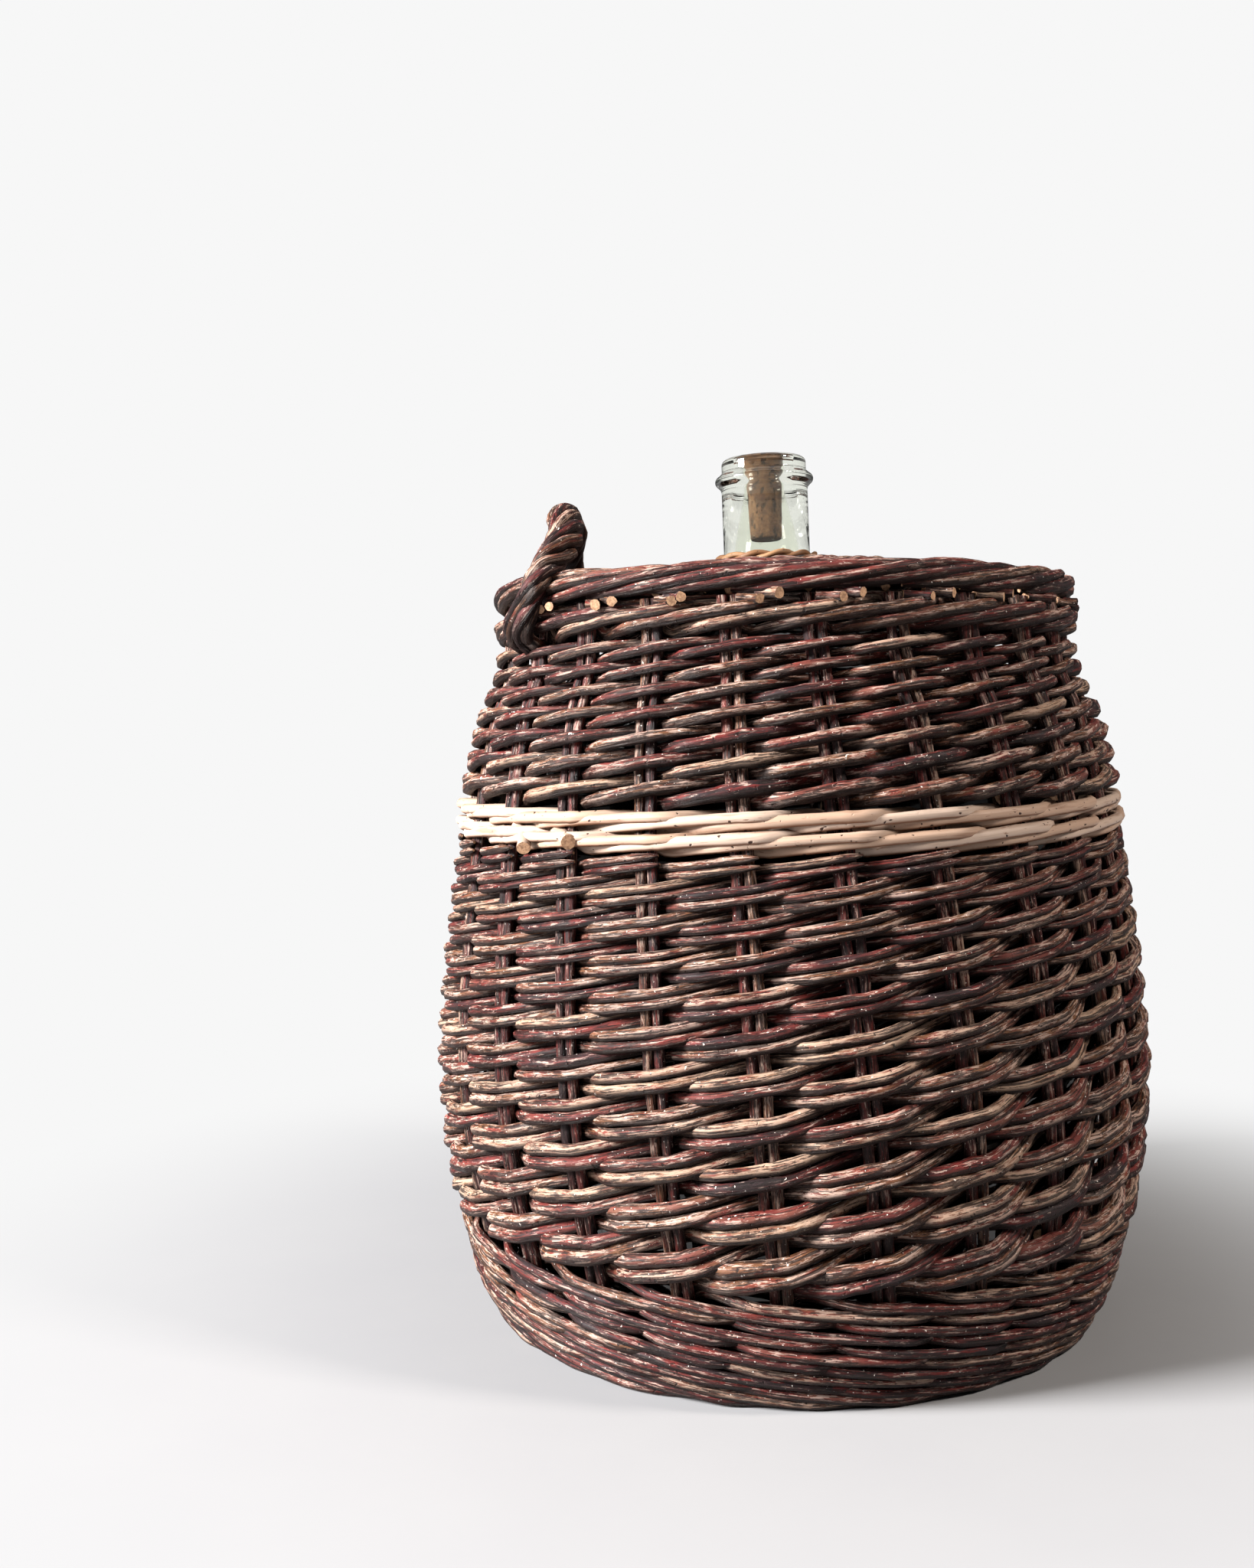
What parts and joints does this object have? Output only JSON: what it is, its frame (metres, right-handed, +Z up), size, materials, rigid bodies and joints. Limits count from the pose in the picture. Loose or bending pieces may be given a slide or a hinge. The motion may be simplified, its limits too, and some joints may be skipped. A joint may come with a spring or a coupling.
{
  "type": "wicker demijohn",
  "caption": "Large glass bottle in a round woven willow basket with a peeled band, a rope handle, a domed cover round the neck and a cork that pulls out.",
  "frame": {"origin": "centre of the basket's foot where it meets the ground", "axes": "+Z up the basket's axis, -X towards the handle's side, -Y towards the pictured side"},
  "size_m": [0.3964, 0.3964, 0.4807],
  "materials": {
    "brown_willow": "matt weathered bark",
    "peeled_willow": "smooth peeled willow, satin",
    "pale_willow": "smooth, slightly waxy",
    "green_glass": "clear, faint green",
    "cork": "rough cork"
  },
  "bodies": {
    "basket": {"stake_cage": "brown_willow", "base_mat": "brown_willow", "foot_wale": "brown_willow", "slew_pair_01": "brown_willow", "slew_pair_02": "brown_willow", "slew_pair_03": "brown_willow", "slew_pair_04": "brown_willow", "slew_pair_05": "brown_willow", "slew_pair_06": "brown_willow", "slew_pair_07": "brown_willow", "slew_pair_08": "brown_willow", "slew_pair_09": "brown_willow", "slew_pair_10": "brown_willow", "slew_pair_11": "brown_willow", "slew_pair_12": "brown_willow", "slew_pair_13": "brown_willow", "slew_pair_14": "brown_willow", "slew_pair_15": "brown_willow", "slew_pair_16": "brown_willow", "slew_pair_17": "brown_willow", "slew_pair_18": "brown_willow", "slew_pair_19": "brown_willow", "slew_pair_20": "brown_willow", "slew_pair_21": "brown_willow", "slew_pair_22": "brown_willow", "slew_pair_23": "brown_willow", "slew_pair_24": "brown_willow", "cream_wale_lower": "peeled_willow", "cream_wale_upper": "peeled_willow", "rand_rod_01": "brown_willow", "rand_rod_02": "brown_willow", "rand_rod_03": "brown_willow", "rand_rod_04": "brown_willow", "rand_rod_05": "brown_willow", "rand_rod_06": "brown_willow", "rand_rod_07": "brown_willow", "rand_rod_08": "brown_willow", "rand_rod_09": "brown_willow", "rand_rod_10": "brown_willow", "rand_rod_11": "brown_willow", "rand_rod_12": "brown_willow", "rand_rod_13": "brown_willow", "rand_rod_14": "brown_willow", "rand_rod_15": "brown_willow", "rand_rod_16": "brown_willow", "rand_rod_17": "brown_willow", "rand_rod_18": "brown_willow", "rand_rod_19": "brown_willow", "rand_rod_20": "brown_willow", "rand_rod_21": "brown_willow", "rand_rod_22": "brown_willow", "rand_rod_23": "brown_willow", "rand_rod_24": "brown_willow", "top_wale": "brown_willow", "rim_border": "brown_willow", "shoulder_cover": "brown_willow", "neck_ring": "pale_willow", "handle_rope": "brown_willow", "glass_bottle": "green_glass"},
    "cork": {"cork_stopper": "cork"}
  },
  "joints": [
    {"name": "cork_pull", "type": "slide", "parent": "basket", "child": "cork", "axis": [-0.0227, 0.0209, 0.9995], "range_m": [0, 0.1]}
  ]
}
